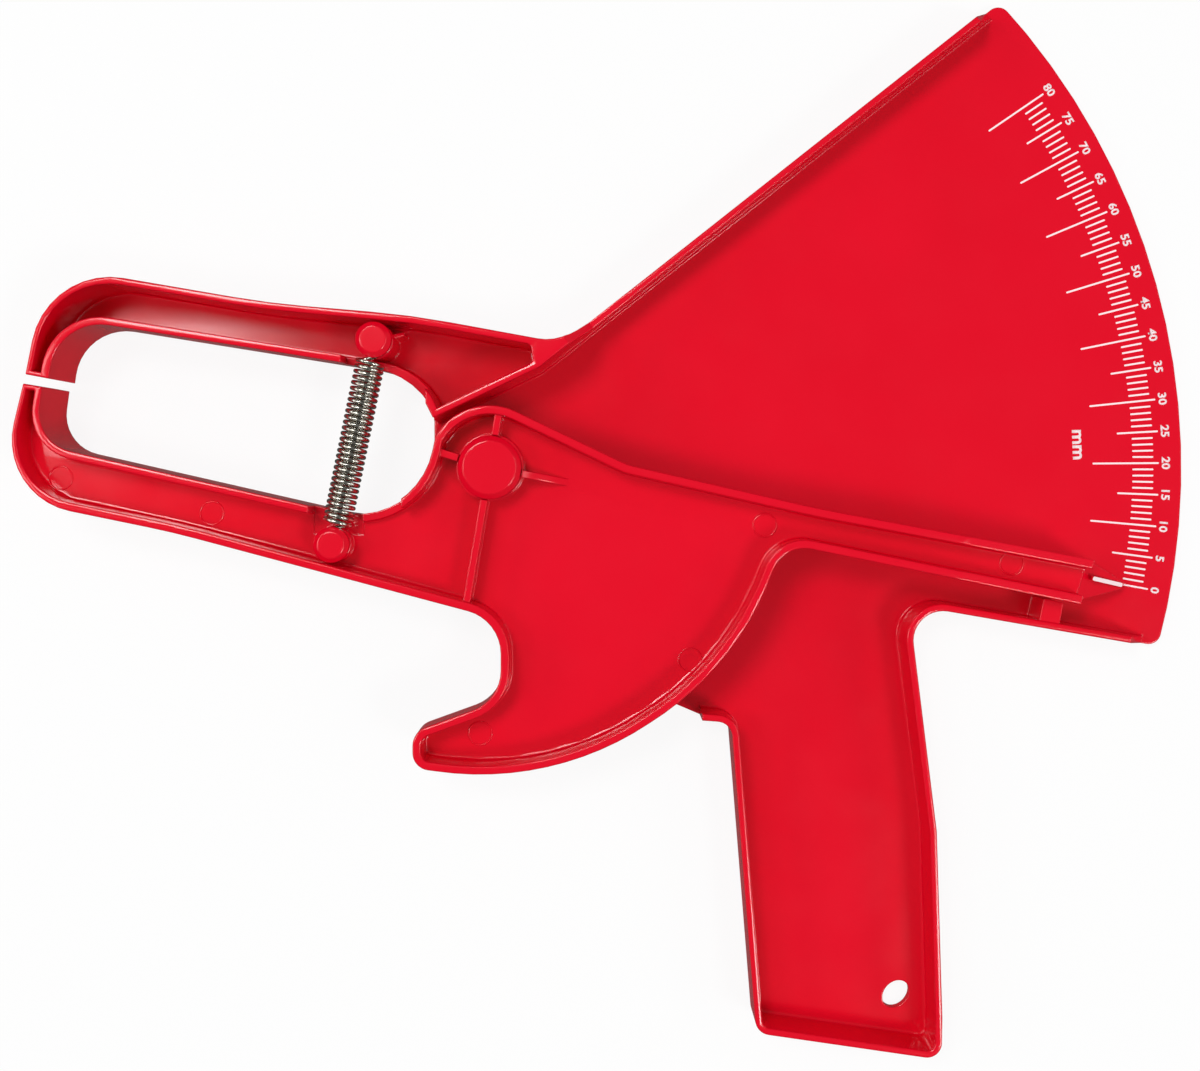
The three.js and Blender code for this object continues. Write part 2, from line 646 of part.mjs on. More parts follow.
function hangingHole() {
  const endDirection = towards(GRIP_END_ANGLE);
  const centre = along(along(gripEndBack, endDirection, -HANG_IN), leftOf(endDirection), HANG_UP);
  const outline = new THREE.Shape();
  outline.absellipse(
    centre.x, centre.y, HANG_LONG / 2, HANG_SHORT / 2, 0, 2 * Math.PI, false, rad(HANG_TURN),
  );
  const geometry = new THREE.ExtrudeGeometry(outline, {
    depth: PLATE + 2 * OVERRUN,
    bevelEnabled: false,
    curveSegments: ROUND_SIDES / 2,
  });
  geometry.translate(0, 0, -OVERRUN);
  return solid(geometry);
}

// The stop stands on the lower rim, under the pointer's arm.
function stop() {
  const top = along(
    onLineAt(armPoint("lowerStart"), armLower, POINTER_REACH * STOP_SHARE),
    leftOf(armLower),
    -STOP_GAP,
  );
  const foot = meet(top, leftOf(armLower), gripBack, towards(LOWER_RIM_ANGLE));
  const sunk = along(foot, leftOf(armLower), FRAME_WALL / 2);
  return bar(top, sunk, STOP_WIDTH, PLATE / 2, RIM_HEIGHT - EDGE_ROUND);
}

const pinBore = () => disc(PIVOT, PIN_SHANK_RADIUS + SEAT_GAP, -OVERRUN, JAW_DEPTH + OVERRUN);
const postBore = (centre) =>
  disc(centre, POST_SHANK_RADIUS + SEAT_GAP, POST_HEIGHT - POST_SHANK_LENGTH - SEAT_GAP, JAW_DEPTH);

// A boss that carries a spring pin.
function postBoss(centre, low) {
  const shaped = turned(centre, [
    [0, low],
    [POST_RADIUS + DRAFT, low],
    [POST_RADIUS, POST_HEIGHT - EDGE_ROUND],
    [POST_RADIUS - EDGE_ROUND, POST_HEIGHT],
    [0, POST_HEIGHT],
  ]);
  return shaped.subtract(postBore(centre));
}

function makeFrame() {
  const jaw = block(frameJawOutline(), 0, JAW_DEPTH)
    .subtract(rampCut())
    .subtract(hollow(frameTrayOutline(), JAW_TRAY, JAW_DEPTH))
    .subtract(backHollow(frameTrayOutline(), 0, JAW_FLOOR))
    .subtract(box(
      upperPost.x - UPPER_NOTCH_BEFORE, upperPost.x + UPPER_NOTCH_AFTER,
      0, upperPost.y - POST_RADIUS / 2,
      NOTCH_FLOOR, JAW_DEPTH + OVERRUN,
    ))
    .add(postBoss(upperPost, JAW_FLOOR + EDGE_ROUND))
    .add(gusset());
  const plate = block(frameTrayCorners(), 0, RIM_HEIGHT)
    .subtract(hollow(frameTrayCorners(), PLATE, RIM_HEIGHT))
    .subtract(rimEnds())
    .subtract(rimStart());
  const boss = disc(PIVOT, PIN_SHANK_RADIUS + SEAT_GAP + BOSS_WALL, PLATE / 2, BOSS_HEIGHT);
  return union([jaw, plate, plateHorn(), disc(PIVOT, HUB_PLATE_RADIUS, 0, PLATE), boss, stop()])
    .subtract(postBore(upperPost))
    .subtract(pinBore())
    .subtract(hangingHole());
}

// A small rib that stiffens the upper post.
function gusset() {
  const out = towards(GUSSET_ANGLE);
  return bar(
    along(upperPost, out, POST_SHANK_RADIUS + SEAT_GAP + EDGE_ROUND),
    along(upperPost, out, POST_RADIUS + GUSSET_RUN),
    GUSSET, JAW_TRAY - PLATE / 2, POST_HEIGHT, JAW_TRAY - PLATE / 2, POST_HEIGHT - GUSSET_RUN,
  );
}

// Ribs from the collar round the pin's head to the walls.
function hubRibs() {
  const start = PIN_HEAD_RADIUS + SEAT_GAP;
  const end = HUB_RADIUS - LEVER_WALL / 2;
  const low = LEVER_BACK + PLATE / 2;
  const high = LEVER_FLOOR + HUB_RIB_HEIGHT;
  const down = towards(DOWN_RIB_ANGLE);
  const bottom = meet(PIVOT, down, leverPoint("bend"), bottomDirection);
  const rib = (angle, reach, last) =>
    bar(polar(start, angle), polar(reach, angle), HUB_RIB, low, high, low, last);
  return [
    rib(UP_RIB_ANGLE, end, high),
    rib(LEFT_RIB_ANGLE, end, high),
    rib(RIGHT_RIB_ANGLE, HUB_RING_RADIUS + HUB_RIB_RUN, LEVER_FLOOR),
    bar(polar(start, DOWN_RIB_ANGLE), along(bottom, down, -LEVER_WALL / 2), HUB_RIB, low, high),
  ];
}

// The pointer's tip: a sloping tongue that reaches down to the scale.
function pointerTip() {
  const from = along(armPoint("lowerEnd"), armLower, -EDGE_ROUND);
  const to = along(armPoint("upperEnd"), armLower, -EDGE_ROUND);
  const tip = armPoint("tip");
  const across = direction(from, to);
  const ends = [[from, LEVER_BACK], [to, LEVER_BACK], [to, LEVER_FLOOR], [from, LEVER_FLOOR]];
  const left = along(tip, across, -TIP_WIDTH / 2);
  const right = along(tip, across, TIP_WIDTH / 2);
  const tipTop = TIP_RISE + TIP_THICK;
  const tips = [[left, TIP_RISE], [right, TIP_RISE], [right, tipTop], [left, tipTop]];
  const geometry = new THREE.BufferGeometry();
  geometry.setAttribute("position", new THREE.Float32BufferAttribute(
    [...ends, ...tips].flatMap(([p, z]) => [p.x, p.y, z]), 3));
  const sides = [0, 1, 2, 3].flatMap((i) => {
    const j = (i + 1) % 4;
    return [i, j, i + 4, j, j + 4, i + 4];
  });
  geometry.setIndex([0, 2, 1, 0, 3, 2, 4, 5, 6, 4, 6, 7, ...sides]);
  return solid(geometry);
}

function indexLine() {
  const start = armPoint("indexStart");
  const tip = armPoint("tip");
  const end = along(tip, direction(start, tip), -EDGE_ROUND);
  const startTop = LEVER_FLOOR + INDEX_HEIGHT;
  const endTop = TIP_RISE + TIP_THICK + INDEX_HEIGHT;
  return bar(start, end, INDEX_WIDTH, LEVER_BACK + PLATE / 2, startTop, TIP_RISE + TIP_THICK / 2, endTop);
}

// The arm's walls get lower towards the tip.
function armTaper() {
  const start = onLineAt(armPoint("lowerStart"), armLower, POINTER_REACH * ARM_TAPER_SHARE);
  const end = along(armPoint("lowerEnd"), armLower, OVERRUN);
  const width = 4 * (armPoint("upperBend").y - armPoint("lowerStart").y);
  const past = JAW_DEPTH + OVERRUN;
  return bar(start, end, width, JAW_DEPTH, past, JAW_DEPTH - ARM_TAPER, past);
}

function makeLever() {
  const corners = leverCorners();
  const deepTo = lowerPost.x + POST_RADIUS + SEAT_GAP;
  const far = 2 * JAW_REACH;
  const deepPart = (to) => box(-far, to, -far, far, -far, far);
  const deep = block(corners, 0, JAW_DEPTH).intersect(deepPart(deepTo));
  const deepHollow = backHollow(corners, 0, LEVER_BACK).intersect(deepPart(deepTo - STEP_WALL));
  const notch = (from, to, floor) => box(
    lowerPost.x + from, lowerPost.x + to, lowerPost.y + POST_RADIUS / 2, 0, floor, JAW_DEPTH + OVERRUN,
  );
  const trays = deep
    .subtract(deepHollow)
    .add(block(corners, LEVER_BACK, JAW_DEPTH))
    .subtract(hollow(corners, LEVER_FLOOR, JAW_DEPTH))
    .subtract(notch(-LOWER_NOTCH_BEFORE, LOWER_NOTCH_STEP, NOTCH_FLOOR))
    .subtract(notch(0, LOWER_NOTCH_AFTER, STEP_FLOOR))
    .subtract(armTaper());
  const collar = disc(PIVOT, HUB_RING_RADIUS, LEVER_BACK, JAW_DEPTH - PIN_HEAD - SEAT_GAP);
  return union([trays, collar, ...hubRibs(), postBoss(lowerPost, POST_BOSS_LOW), pointerTip(), indexLine()])
    .subtract(postBore(lowerPost))
    .subtract(pinBore());
}

// Pins. The pivot's end is flush with the back.
function makePivotPin() {
  const under = JAW_DEPTH - PIN_HEAD;
  return turned(PIVOT, [
    [0, 0],
    [PIN_SHANK_RADIUS - PIN_END_BEVEL, 0],
    [PIN_SHANK_RADIUS, PIN_END_BEVEL],
    [PIN_SHANK_RADIUS, under],
    [PIN_HEAD_RADIUS, under],
    [PIN_HEAD_RADIUS, JAW_DEPTH - PIN_HEAD_BEVEL],
    [PIN_HEAD_RADIUS - PIN_HEAD_BEVEL, JAW_DEPTH],
    [0, JAW_DEPTH],
  ]);
}

function makePostPin(centre) {
  const low = POST_HEIGHT - POST_SHANK_LENGTH;
  const shoulder = POST_HEIGHT + SEAT_GAP;
  const under = JAW_DEPTH - POST_HEAD;
  return turned(centre, [
    [0, low],
    [POST_SHANK_RADIUS - PIN_END_BEVEL, low],
    [POST_SHANK_RADIUS, low + PIN_END_BEVEL],
    [POST_SHANK_RADIUS, shoulder],
    [POST_NECK_RADIUS, shoulder],
    [POST_NECK_RADIUS, under],
    [POST_RADIUS, under],
    [POST_RADIUS, JAW_DEPTH - POST_HEAD_BEVEL],
    [POST_RADIUS - POST_HEAD_BEVEL, JAW_DEPTH],
    [0, JAW_DEPTH],
  ]);
}

// Spring: an open-wound coil with a hook round each pin's neck
function springRoute() {
  const length = Math.hypot(upperPost.x - lowerPost.x, upperPost.y - lowerPost.y);
  const half = length / 2 - COIL_START;
  const hookRadius = POST_NECK_RADIUS + SEAT_GAP + WIRE / 2;
  const turns = Math.round((2 * half) / COIL_PITCH - LAST_CURL_SHARE);
  const pitch = (2 * half) / (turns + LAST_CURL_SHARE);
  const endAngle = Math.PI * turns + rad(COIL_END_ANGLE);
  const steps = Math.round((endAngle * CURL_STEPS) / Math.PI);
  // u runs from pin to pin from the coil's middle, v across and w up.
  const coil = [];
  for (let i = 0; i <= steps; i++) {
    const angle = -endAngle + (2 * endAngle * i) / steps;
    const turn = angle - Math.PI * turns;
    coil.push([(pitch * angle) / (2 * Math.PI), COIL_RADIUS * Math.cos(turn), COIL_RADIUS * Math.sin(turn)]);
  }
  const last = coil.at(-1);
  const round = 2 * Math.PI * COIL_RADIUS;
  const leave = new THREE.Vector3(
    pitch, -round * Math.sin(rad(COIL_END_ANGLE)), round * Math.cos(rad(COIL_END_ANGLE)),
  ).normalize();
  const straight = new THREE.Vector3(length / 2 - COIL_LEAD_SHARE * COIL_START, hookRadius, 0);
  const reach = new THREE.Vector3(...last).distanceTo(straight);
  const bend = new THREE.CubicBezierCurve3(
    new THREE.Vector3(...last),
    new THREE.Vector3(...last).addScaledVector(leave, reach * BEND_SHARE),
    straight.clone().add(new THREE.Vector3(-reach * BEND_SHARE, 0, 0)),
    straight,
  );
  const end = bend.getPoints(CURL_STEPS).slice(1).map((p) => [p.x, p.y, p.z]);
  const hookSteps = Math.round((HOOK_TURN / 360) * 2 * CURL_STEPS);
  for (let i = 0; i <= hookSteps; i++) {
    const angle = rad((HOOK_TURN * i) / hookSteps);
    end.push([length / 2 + hookRadius * Math.sin(angle), hookRadius * Math.cos(angle), 0]);
  }
  const flip = ([u, v, w]) => [-u, v, -w];
  const local = [...end.map(flip).reverse(), ...coil, ...end];
  const axis = direction(lowerPost, upperPost);
  const side = leftOf(axis);
  const middle = point((upperPost.x + lowerPost.x) / 2, (upperPost.y + lowerPost.y) / 2);
  const level = (POST_HEIGHT + SEAT_GAP + JAW_DEPTH - POST_HEAD) / 2;
  return local.map(([u, v, w]) =>
    new THREE.Vector3(middle.x + axis.x * u - side.x * v, middle.y + axis.y * u - side.y * v, level + w));
}

// One unbroken round tube along points.
function sweep(points, radius, sides) {
  const positions = [];
  const index = [];
  const tangents = points.map((p, i) =>
    points[Math.min(i + 1, points.length - 1)].clone().sub(points[Math.max(i - 1, 0)]).normalize());
  const normal = new THREE.Vector3(0, 0, 1).projectOnPlane(tangents[0]).normalize();
  points.forEach((p, i) => {
    normal.projectOnPlane(tangents[i]).normalize();
    const binormal = tangents[i].clone().cross(normal);
    for (let k = 0; k < sides; k++) {
      const angle = (2 * Math.PI * k) / sides;
      const q = p.clone()
        .addScaledVector(normal, radius * Math.cos(angle))
        .addScaledVector(binormal, radius * Math.sin(angle));
      positions.push(q.x, q.y, q.z);
    }
  });
  for (let i = 0; i + 1 < points.length; i++)
    for (let k = 0; k < sides; k++) {
      const a = i * sides + k;
      const b = i * sides + ((k + 1) % sides);
      index.push(a, b, b + sides, a, b + sides, a + sides);
    }
  const end = (points.length - 1) * sides;
  for (let k = 1; k + 1 < sides; k++) {
    index.push(0, k + 1, k);
    index.push(end, end + k, end + k + 1);
  }
  const geometry = new THREE.BufferGeometry();
  geometry.setAttribute("position", new THREE.Float32BufferAttribute(positions, 3));
  geometry.setIndex(index);
  return solid(geometry);
}

// The least gap between stretches of the tube that lie more than half a curl apart along it.
function leastGap(points, radius) {
  const apart = Math.PI * COIL_RADIUS;
  const run = [0];
  for (let i = 1; i < points.length; i++) run.push(run[i - 1] + points[i].distanceTo(points[i - 1]));
  let least = Infinity;
  const nearest = new THREE.Vector3();
  for (let i = 0; i < points.length; i++)
    for (let j = 0; j + 1 < points.length; j++) {
      if (run[j] - run[i] < apart) continue;
      const piece = new THREE.Line3(points[j], points[j + 1]);
      piece.closestPointToPoint(points[i], true, nearest);
      least = Math.min(least, nearest.distanceTo(points[i]) - 2 * radius);
    }
  return least;
}

function makeSpring() {
  const points = springRoute();
  console.log("spring: " + points.length + " rings, least gap to itself " +
    leastGap(points, WIRE / 2).toFixed(2) + " mm");
  return sweep(points, WIRE / 2, WIRE_SIDES);
}

// Colours and surfaces
const redPlastic = (name) =>
  new THREE.MeshStandardMaterial({ name, color: 0xdc142c, roughness: 0.28, metalness: 0 });
const steel = new THREE.MeshStandardMaterial({
  name: "spring_steel", color: 0x6f6c66, roughness: 0.3, metalness: 1,
});

function mesh(name, made, material) {
  const found = made.getMesh();
  const geometry = new THREE.BufferGeometry();
  const stride = found.numProp;
  const positions = new Float32Array(found.numVert * 3);
  for (let i = 0; i < found.numVert; i++)
    positions.set(found.vertProperties.subarray(i * stride, i * stride + 3), i * 3);
  geometry.setAttribute("position", new THREE.BufferAttribute(positions, 3));
  geometry.setIndex(new THREE.BufferAttribute(new Uint32Array(found.triVerts), 1));
  geometry.computeVertexNormals();
  const placed = new THREE.Mesh(geometry, material);
  placed.name = name;
  return placed;
}

const caliper = new THREE.Group();
caliper.name = "skinfold_caliper";
caliper.add(
  mesh("frame", makeFrame(), redPlastic("frame_plastic")),
  mesh("lever", makeLever(), redPlastic("lever_plastic")),
  mesh("pivot_pin", makePivotPin(), redPlastic("pin_plastic")),
  mesh("upper_spring_pin", makePostPin(upperPost), redPlastic("upper_pin_plastic")),
  mesh("lower_spring_pin", makePostPin(lowerPost), redPlastic("lower_pin_plastic")),
  mesh("spring", makeSpring(), steel),
);

export default caliper;
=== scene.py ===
"""Skinfold caliper: two red moulded plastic parts, three plastic pins and a steel spring."""

import math

import bpy
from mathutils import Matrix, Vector


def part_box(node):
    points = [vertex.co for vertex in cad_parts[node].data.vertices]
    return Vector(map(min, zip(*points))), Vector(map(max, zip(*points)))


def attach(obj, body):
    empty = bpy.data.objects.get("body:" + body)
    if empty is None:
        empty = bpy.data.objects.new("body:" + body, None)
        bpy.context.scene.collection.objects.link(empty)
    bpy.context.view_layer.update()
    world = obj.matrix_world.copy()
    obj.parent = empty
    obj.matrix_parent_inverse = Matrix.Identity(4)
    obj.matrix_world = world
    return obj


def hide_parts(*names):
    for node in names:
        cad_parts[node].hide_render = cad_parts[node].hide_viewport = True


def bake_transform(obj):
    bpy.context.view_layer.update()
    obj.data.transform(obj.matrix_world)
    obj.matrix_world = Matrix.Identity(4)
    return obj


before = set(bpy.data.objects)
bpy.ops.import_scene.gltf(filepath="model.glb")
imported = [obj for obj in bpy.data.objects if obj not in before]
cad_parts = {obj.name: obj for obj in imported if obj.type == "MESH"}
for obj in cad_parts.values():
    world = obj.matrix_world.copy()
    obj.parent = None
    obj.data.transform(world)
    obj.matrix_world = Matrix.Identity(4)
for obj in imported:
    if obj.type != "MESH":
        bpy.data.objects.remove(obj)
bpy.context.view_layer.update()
scene = bpy.context.scene
MM = 0.001

# Sizes of the object in millimetres, from the hinge's axis and the back face.
JAW_REACH = 105
SCALE_START = -10.5  # degrees, where the index stands with the jaws closed
PLATE_TOP = 2
LEVER_FLOOR = 12.4
PIN_TOP = 20


# Materials


def linear(code):
    """An sRGB hex colour as linear red, green, blue and alpha."""
    parts = [int(code[i : i + 2], 16) / 255 for i in (0, 2, 4)]
    return (*[c / 12.92 if c <= 0.04045 else ((c + 0.055) / 1.055) ** 2.4 for c in parts], 1)


def add(material, kind, sockets=None, **settings):
    """A shader node with its settings. A socket takes a number, a colour or a node's output."""
    node = material.node_tree.nodes.new(kind)
    for name, value in settings.items():
        setattr(node, name, value)
    for name, value in (sockets or {}).items():
        if isinstance(value, bpy.types.NodeSocket):
            material.node_tree.links.new(value, node.inputs[name])
        else:
            node.inputs[name].default_value = value
    return node


def empty_material(name):
    material = bpy.data.materials.new(name)
    material.use_nodes = True
    material.node_tree.nodes.clear()
    return material


def blend_of(material, pattern, first, second):
    """A colour that follows a pattern from the first hex colour to the second."""
    return add(material, "ShaderNodeMix",
               {0: pattern.outputs[0], 6: linear(first), 7: linear(second)}, data_type="RGBA")


def surface(material, shader):
    out = add(material, "ShaderNodeOutputMaterial")
    material.node_tree.links.new(shader.outputs[0], out.inputs["Surface"])
    return material


def moulded_plastic():
    """Glossy high-impact polystyrene, injection moulded: a deep even red with faint flow
    clouds, a skin as fine as orange peel, and a thin bright line along each rounded rim."""
    m = empty_material("red_moulded_polystyrene")
    place = add(m, "ShaderNodeTexCoord").outputs["Object"]
    # Flow clouds of the melt, about 40 mm across.
    clouds = add(m, "ShaderNodeTexNoise", {"Vector": place, "Scale": 1 / (40 * MM), "Detail": 3.0})
    tint = blend_of(m, clouds, "de0521", "ea0728")
    # Sheen changes over about 12 mm, as the melt cooled against the steel.
    sheen = add(m, "ShaderNodeTexNoise", {"Vector": place, "Scale": 1 / (12 * MM), "Detail": 4.0})
    rough = add(m, "ShaderNodeMapRange",
                {"Value": sheen.outputs[0], "From Min": 0.3, "From Max": 0.7,
                 "To Min": 0.12, "To Max": 0.17})
    # Orange peel of the skin, drawn 1.2 mm across so that it shows.
    peel = add(m, "ShaderNodeTexNoise", {"Vector": place, "Scale": 1 / (1.2 * MM), "Detail": 2.0})
    edge = add(m, "ShaderNodeBevel", {"Radius": 0.5 * MM}, samples=8)
    skin = add(m, "ShaderNodeBump",
               {"Strength": 0.08, "Distance": 0.03 * MM, "Height": peel.outputs[0],
                "Normal": edge.outputs[0]})
    shader = add(m, "ShaderNodeBsdfPrincipled",
                 {"Base Color": tint.outputs[2], "Roughness": rough.outputs[0],
                  "Normal": skin.outputs[0], "IOR": 1.55, "Specular IOR Level": 0.45})
    return surface(m, shader)


def spring_wire():
    """Hard-drawn spring steel wire: a bright metal with fine lengthwise draw marks, dark
    where the curls mirror each other."""
    m = empty_material("drawn_spring_steel")
    place = add(m, "ShaderNodeTexCoord").outputs["UV"]
    stretched = add(m, "ShaderNodeMapping", {"Vector": place, "Scale": (260.0, 24.0, 1.0)})
    marks = add(m, "ShaderNodeTexNoise",
                {"Vector": stretched.outputs[0], "Scale": 1.0, "Detail": 3.0})
    tint = blend_of(m, marks, "b4b1a6", "d4d1c6")
    rough = add(m, "ShaderNodeMapRange",
                {"Value": marks.outputs[0], "From Min": 0.3, "From Max": 0.7,
                 "To Min": 0.18, "To Max": 0.28})
    shader = add(m, "ShaderNodeBsdfPrincipled",
                 {"Base Color": tint.outputs[2], "Roughness": rough.outputs[0], "Metallic": 1.0})
    return surface(m, shader)


def printing_ink():
    """White pad-printing ink: flat, slightly chalky, a little thinner here and there."""
    m = empty_material("white_pad_printing_ink")
    place = add(m, "ShaderNodeTexCoord").outputs["Object"]
    # Thin places in the ink, about 0.5 mm across.
    thin = add(m, "ShaderNodeTexNoise", {"Vector": place, "Scale": 1 / (0.5 * MM), "Detail": 2.0})
    tint = blend_of(m, thin, "fff1f3", "ffe2e6")
    shader = add(m, "ShaderNodeBsdfPrincipled",
                 {"Base Color": tint.outputs[2], "Roughness": 0.6, "IOR": 1.45})
    return surface(m, shader)


def table_top():
    """Plain white board. Camera rays see most of it as plain white and keep a faint shadow, and
    mirrored rays see it as a dim grey, as the dark edges of the real wire show it."""
    m = empty_material("white_board")
    path = add(m, "ShaderNodeLightPath")
    camera_share = add(m, "ShaderNodeMath", {0: path.outputs["Is Camera Ray"], 1: 0.9},
                       operation="MULTIPLY")
    share = add(m, "ShaderNodeMath", {0: camera_share.outputs[0], 1: path.outputs["Is Glossy Ray"]},
                operation="MAXIMUM")
    strength = add(m, "ShaderNodeMapRange",
                   {"Value": path.outputs["Is Glossy Ray"], "To Min": 1.0, "To Max": 0.1})
    board = add(m, "ShaderNodeBsdfDiffuse", {"Color": linear("efefef")})
    white = add(m, "ShaderNodeEmission", {"Color": (1, 1, 1, 1), "Strength": strength.outputs[0]})
    both = add(m, "ShaderNodeMixShader",
               {0: share.outputs[0], 1: board.outputs[0], 2: white.outputs[0]})
    return surface(m, both)


RED = moulded_plastic()
STEEL = spring_wire()
INK = printing_ink()


def paint(obj, material):
    obj.data.materials.clear()
    obj.data.materials.append(material)
    return obj


# The moulded parts and pins


def alone(obj):
    """Only obj is selected and active."""
    bpy.ops.object.select_all(action="DESELECT")
    obj.select_set(True)
    bpy.context.view_layer.objects.active = obj


def smooth_moulding(name):
    """The solid's loose triangles are welded, and shaded smooth but for its sharp edges."""
    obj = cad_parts[name]
    weld = obj.modifiers.new("weld", "WELD")
    weld.merge_threshold = 0.002 * MM
    split = obj.modifiers.new("sharp_edges", "EDGE_SPLIT")
    split.split_angle = math.radians(34)
    flat = obj.modifiers.new("flat_faces_stay_flat", "WEIGHTED_NORMAL")
    flat.keep_sharp = True
    for polygon in obj.data.polygons:
        polygon.use_smooth = True
    paint(obj, RED)


for name in ("frame", "lever", "pivot_pin", "upper_spring_pin", "lower_spring_pin"):
    smooth_moulding(name)

# Printed scale


def scale_angle(value):
    """Degrees round the hinge at which the index stands with the jaws value millimetres open."""
    return SCALE_START + math.degrees(2 * math.asin(value / (2 * JAW_REACH)))


def at(radius, degrees, z=0.0):
    """A place in the scene from millimetres and degrees round the hinge."""
    turn = math.radians(degrees)
    return Vector((radius * math.cos(turn), radius * math.sin(turn), z)) * MM


TICK_WIDTH = 0.42
INK_THICKNESS = 0.05
TICK_OUTER = {1: 157.1, 5: 158.4, 10: 158.4}
TICK_INNER = {1: 152.1, 5: 148.6, 10: 142.6}
NUMBER_RADIUS = 160.1
NUMBER_HEIGHT = 2.05
UNIT_RADIUS = 139.0
UNIT_ANGLE = 2.3
UNIT_HEIGHT = 2.2
TEXT_WIDEN = 1.12
TEXT_EMBOLDEN = 0.03
INDEX_START = Vector((139.2, -25.6, 12.75))
INDEX_END = Vector((148.6, -27.7, 5.2))
INDEX_WIDTH = 0.95


def printed_line(first, last, width, thickness=INK_THICKNESS):
    """One line of ink with round ends: a thin block bevelled and laid from first to last."""
    run = last - first
    bpy.ops.object.select_all(action="DESELECT")
    bpy.ops.mesh.primitive_cube_add(size=1, scale=(run.length, width * MM, thickness * MM))
    line = bpy.context.object
    bpy.ops.object.transform_apply(location=True, rotation=True, scale=True)
    bpy.ops.object.mode_set(mode="EDIT")
    bpy.ops.mesh.select_all(action="DESELECT")
    bpy.ops.object.mode_set(mode="OBJECT")
    for edge in line.data.edges:
        a, b = (line.data.vertices[i].co for i in edge.vertices)
        edge.select = abs(a.z - b.z) > thickness * MM / 2
    bpy.ops.object.mode_set(mode="EDIT")
    bpy.ops.mesh.select_mode(type="EDGE")
    bpy.ops.mesh.bevel(offset=width * MM * 0.45, segments=3)
    bpy.ops.mesh.select_all(action="SELECT")
    bpy.ops.mesh.normals_make_consistent(inside=False)
    bpy.ops.object.mode_set(mode="OBJECT")
    line.rotation_mode = "QUATERNION"
    line.rotation_quaternion = run.to_track_quat("X", "Z")
    line.location = (first + last) / 2 + Vector((0, 0, thickness * MM / 2))
    return line


def joined(pieces, name, body, material):
    """Several meshes made one piece that rides on a body."""
    bpy.ops.object.select_all(action="DESELECT")
    for piece in pieces:
        piece.select_set(True)
    bpy.context.view_layer.objects.active = pieces[0]
    bpy.ops.object.join()
    obj = bpy.context.object
    bpy.ops.object.transform_apply(location=True, rotation=True, scale=True)
    obj.name = name
    obj.data.name = name
    paint(obj, material)
    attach(obj, body)
    return obj


def tick(value):
    kind = 10 if value % 10 == 0 else 5 if value % 5 == 0 else 1
    angle = scale_angle(value)
    inner = at(TICK_INNER[kind], angle, PLATE_TOP)
    outer = at(TICK_OUTER[kind], angle, PLATE_TOP)
    return printed_line(inner, outer, TICK_WIDTH)


def printed_text(text, height, radius, angle, turn):
    """Generic figures in ink, turned by turn degrees, centred at a radius and angle."""
    bpy.ops.object.select_all(action="DESELECT")
    bpy.ops.object.text_add(location=(0, 0, 0))
    obj = bpy.context.object
    obj.data.body = text
    obj.data.size = 1
    obj.data.offset = TEXT_EMBOLDEN
    obj.data.resolution_u = 3
    bpy.ops.object.convert(target="MESH")
    obj = bpy.context.object
    xs = [v.co.x for v in obj.data.vertices]
    ys = [v.co.y for v in obj.data.vertices]
    middle = Vector(((min(xs) + max(xs)) / 2, (min(ys) + max(ys)) / 2, 0))
    grow = height * MM / (max(ys) - min(ys))
    bpy.ops.object.mode_set(mode="EDIT")
    bpy.ops.mesh.select_all(action="SELECT")
    bpy.ops.mesh.remove_doubles(threshold=0.0005)
    bpy.ops.mesh.extrude_region_move(
        TRANSFORM_OT_translate={"value": (0, 0, INK_THICKNESS * MM / grow)})
    bpy.ops.mesh.select_all(action="SELECT")
    bpy.ops.mesh.normals_make_consistent(inside=False)
    bpy.ops.object.mode_set(mode="OBJECT")
    turned = math.radians(turn)
    for v in obj.data.vertices:
        p = (v.co - middle) * grow
        p.x *= TEXT_WIDEN
        v.co = Vector((p.x * math.cos(turned) - p.y * math.sin(turned),
                       p.x * math.sin(turned) + p.y * math.cos(turned),
                       v.co.z * grow + PLATE_TOP * MM)) + at(radius, angle)
    return obj


joined([tick(v) for v in range(81)], "scale_lines", "frame_body", INK)
joined([printed_text(str(v), NUMBER_HEIGHT, NUMBER_RADIUS, scale_angle(v), scale_angle(v) - 90)
        for v in range(0, 81, 5)], "scale_numbers", "frame_body", INK)
joined([printed_text("mm", UNIT_HEIGHT, UNIT_RADIUS, UNIT_ANGLE, UNIT_ANGLE - 90)],
       "scale_unit", "frame_body", INK)
joined([printed_line(INDEX_START * MM, INDEX_END * MM, INDEX_WIDTH)],
       "index_line", "lever_body", INK)

# Marks of the ejector pins in the lever's floor
EJECTOR_RADIUS = 2.7
EJECTOR_LINE = 0.2
EJECTOR_PLACES = (
    (-99.7, -2.4), (-64.7, -10.5), (-2.6, -61.5), (46.0, -44.5), (63.3, -13.3), (120.5, -22.1))


def ejector_mark(x, y):
    """The raised witness line round an ejector pin: a ring sunk by half into the floor."""
    bpy.ops.object.select_all(action="DESELECT")
    bpy.ops.mesh.primitive_torus_add(
        location=(x * MM, y * MM, LEVER_FLOOR * MM), major_radius=EJECTOR_RADIUS * MM,
        minor_radius=EJECTOR_LINE * MM, major_segments=48, minor_segments=8)
    bpy.ops.object.shade_smooth()
    return bpy.context.object


joined([ejector_mark(*place) for place in EJECTOR_PLACES], "ejector_marks", "lever_body", RED)


GATE_RADIUS = 0.8
GATE_LINE = 0.1


